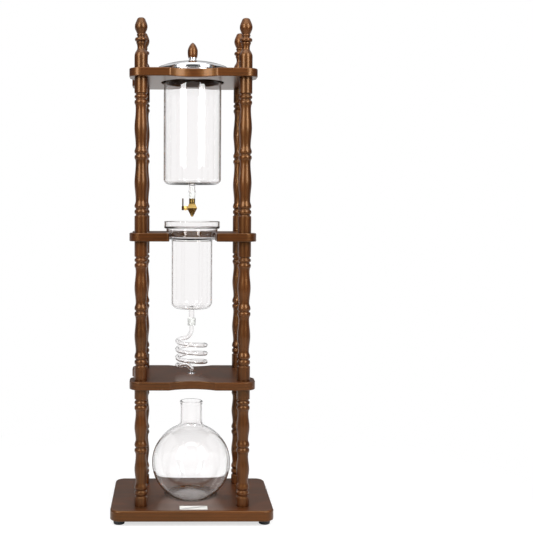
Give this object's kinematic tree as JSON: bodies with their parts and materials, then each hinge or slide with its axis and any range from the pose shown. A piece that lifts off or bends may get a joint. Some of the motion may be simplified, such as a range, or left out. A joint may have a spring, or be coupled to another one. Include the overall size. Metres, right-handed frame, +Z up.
{
  "type": "cold drip coffee tower",
  "caption": "Wooden drip tower on turned posts: lidded glass water tank with a brass tap, coffee chamber with a glass coil, and a receiving flask.",
  "frame": {"origin": "on the floor under the middle of the base board", "axes": "+X to the tower's right as seen from the front, +Y to the rear, +Z up; the glassware stands on the Z axis"},
  "size_m": [0.3, 0.21, 0.92],
  "materials": {
    "walnut": "walnut-stained hardwood with satin varnish",
    "clear_glass": "clear borosilicate glass",
    "polished_steel": "polished stainless steel",
    "steel_hardware": "plain steel screws and studs",
    "brass": "bright machined brass",
    "dark_brass": "darkened brass handle",
    "silicone": "milky food-grade silicone",
    "foot_rubber": "dark grey matt rubber"
  },
  "bodies": {
    "stand": {"base_board": "walnut", "rubber_foot_front_left": "foot_rubber", "rubber_foot_front_right": "foot_rubber", "rubber_foot_rear_left": "foot_rubber", "rubber_foot_rear_right": "foot_rubber", "foot_screws": "steel_hardware", "base_bolts": "steel_hardware", "lower_shelf": "walnut", "middle_shelf": "walnut", "top_shelf": "walnut", "lower_spindle_front_left": "walnut", "lower_spindle_front_right": "walnut", "lower_spindle_rear_left": "walnut", "lower_spindle_rear_right": "walnut", "middle_spindle_front_left": "walnut", "middle_spindle_front_right": "walnut", "middle_spindle_rear_left": "walnut", "middle_spindle_rear_right": "walnut", "upper_spindle_front_left": "walnut", "upper_spindle_front_right": "walnut", "upper_spindle_rear_left": "walnut", "upper_spindle_rear_right": "walnut", "finial_front_left": "walnut", "finial_front_right": "walnut", "finial_rear_left": "walnut", "finial_rear_right": "walnut", "lower_shelf_studs": "steel_hardware", "middle_shelf_studs": "steel_hardware", "top_shelf_studs": "steel_hardware", "drip_ring": "polished_steel"},
    "tank": {"water_tank": "clear_glass", "tank_plug": "silicone", "valve_body": "brass", "valve_gland": "brass"},
    "tap_handle": {"valve_stem": "brass", "valve_cap": "dark_brass", "valve_lever": "dark_brass"},
    "lid": {"lid_dome": "polished_steel", "lid_ferrule": "polished_steel", "lid_knob": "walnut", "lid_screw": "steel_hardware"},
    "chamber": {"coffee_chamber": "clear_glass", "coil_sleeve": "silicone", "cooling_coil": "clear_glass"},
    "flask": {"receiving_flask": "clear_glass"}
  },
  "joints": [
    {"name": "tank_lift", "type": "slide", "parent": "stand", "child": "tank", "axis": [0, 0, 1], "range_m": [0, 0.3]},
    {"name": "tap_turn", "type": "hinge", "parent": "tank", "child": "tap_handle", "pos_m": [-0.017, 0, 0.5803], "axis": [1, 0, 0], "range_deg": [0, 90]},
    {"name": "lid_lift", "type": "slide", "parent": "tank", "child": "lid", "axis": [0, 0, 1], "range_m": [0, 0.15]},
    {"name": "chamber_lift", "type": "slide", "parent": "stand", "child": "chamber", "axis": [0, 0, 1], "range_m": [0, 0.06]},
    {"name": "flask_draw", "type": "slide", "parent": "stand", "child": "flask", "axis": [0, -0.9578, 0.2873], "range_m": [0, 0.24]}
  ]
}
